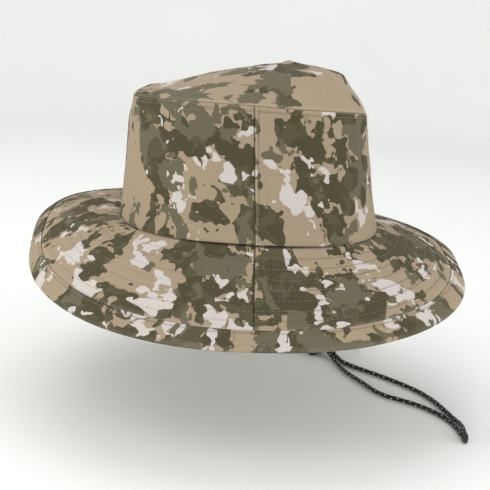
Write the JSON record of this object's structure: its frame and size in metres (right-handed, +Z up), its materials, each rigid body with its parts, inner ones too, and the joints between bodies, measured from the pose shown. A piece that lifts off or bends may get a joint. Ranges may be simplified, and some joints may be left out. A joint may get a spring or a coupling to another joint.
{
  "type": "boonie hat",
  "caption": "Soft camouflage boonie hat with a shallow domed crown, a quilted drooping brim with a bound edge, and a chin cord with a sliding cord lock.",
  "frame": {"origin": "centre of the head opening, in the plane of the seam between crown and brim", "axes": "+Z up through the crown, -Y towards the front of the hat, +X to the right as seen from the front; left and right in names are as seen from the front"},
  "size_m": [0.2951, 0.3058, 0.2279],
  "materials": {
    "shell_cloth": "woven cotton twill with a printed four-colour camouflage",
    "seam_tape": "plain woven tape",
    "sweatband_cloth": "soft plain woven cotton",
    "label_cloth": "blank woven label",
    "interlining": "stiff canvas interlining",
    "thread": "spun sewing thread",
    "cord": "round braided elastic cord with pale flecks",
    "lock_plastic": "moulded, finely textured",
    "spring_steel": "bright drawn wire"
  },
  "bodies": {
    "hat": {"crown_top": "shell_cloth", "crown_side_left": "shell_cloth", "crown_side_right": "shell_cloth", "crown_top_seam_tape": "seam_tape", "crown_front_seam_tape": "seam_tape", "crown_back_seam_tape": "seam_tape", "sweatband": "sweatband_cloth", "size_label": "label_cloth", "brim_top_left": "shell_cloth", "brim_top_right": "shell_cloth", "brim_interlining_left": "interlining", "brim_interlining_right": "interlining", "brim_under_left": "shell_cloth", "brim_under_right": "shell_cloth", "brim_edge_binding": "shell_cloth", "cord_tab_left": "seam_tape", "cord_tab_right": "seam_tape", "chin_cord_left": "cord", "chin_cord_right": "cord", "cord_tip": "cord"},
    "cord_lock": {"cord_lock_body": "lock_plastic", "cord_lock_spring": "spring_steel"},
    "lock_button": {"cord_lock_button": "lock_plastic"}
  },
  "joints": [
    {"name": "lock_slide", "type": "slide", "parent": "hat", "child": "cord_lock", "axis": [-0.8, 0.6, 0], "range_m": [-0.002, 0.012]},
    {"name": "button_press", "type": "slide", "parent": "cord_lock", "child": "lock_button", "axis": [-0.6, -0.8, 0], "range_m": [0, 0.0025], "stiffness_N_per_m": 1200, "springref_m": -0.001, "deforming": ["cord_lock_spring"]}
  ]
}
